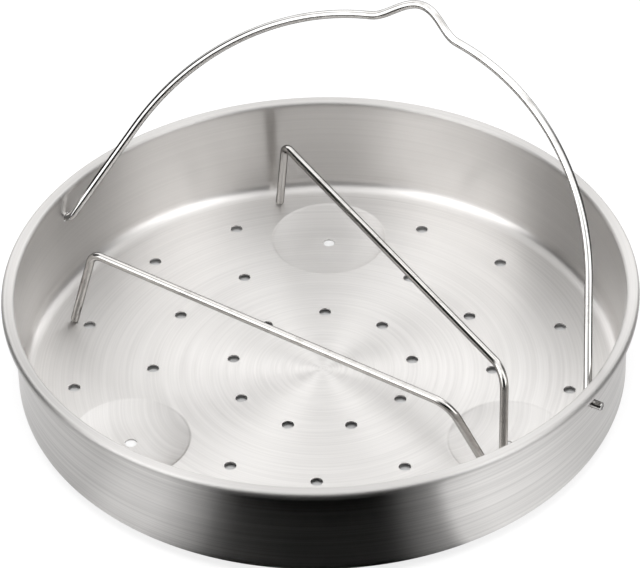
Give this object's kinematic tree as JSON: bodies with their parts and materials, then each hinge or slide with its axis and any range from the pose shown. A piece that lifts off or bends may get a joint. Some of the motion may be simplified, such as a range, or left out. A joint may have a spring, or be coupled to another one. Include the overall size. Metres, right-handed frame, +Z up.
{
  "type": "pressure cooker steaming insert",
  "caption": "Round perforated steel pan with a rolled rim, pressed feet and a swinging wire bail, and a loose bent-wire trivet lying in it, for steaming food inside a pressure cooker.",
  "frame": {"origin": "on the pan's axis, on the surface that its three feet stand on", "axes": "+Z up along the pan's axis, X along the pivot axis of the bail, the bail leaning towards +Y"},
  "size_m": [0.21, 0.21, 0.1101],
  "materials": {
    "pan_steel": "circular brushing on stainless sheet",
    "bail_wire": "polished stainless wire",
    "trivet_wire": "drawn and polished stainless wire"
  },
  "bodies": {
    "pan": {"perforated_pan": "pan_steel"},
    "bail": {"bail_handle": "bail_wire"},
    "trivet": {"wire_trivet": "trivet_wire"}
  },
  "joints": [
    {"name": "bail_swing", "type": "hinge", "parent": "pan", "child": "bail", "pos_m": [0, 0, 0.0295], "axis": [1, 0, 0], "range_deg": [-41.5, 123.5]},
    {"name": "trivet_lift", "type": "slide", "parent": "pan", "child": "trivet", "axis": [0, 0, 1], "range_m": [0, 0.05]}
  ]
}
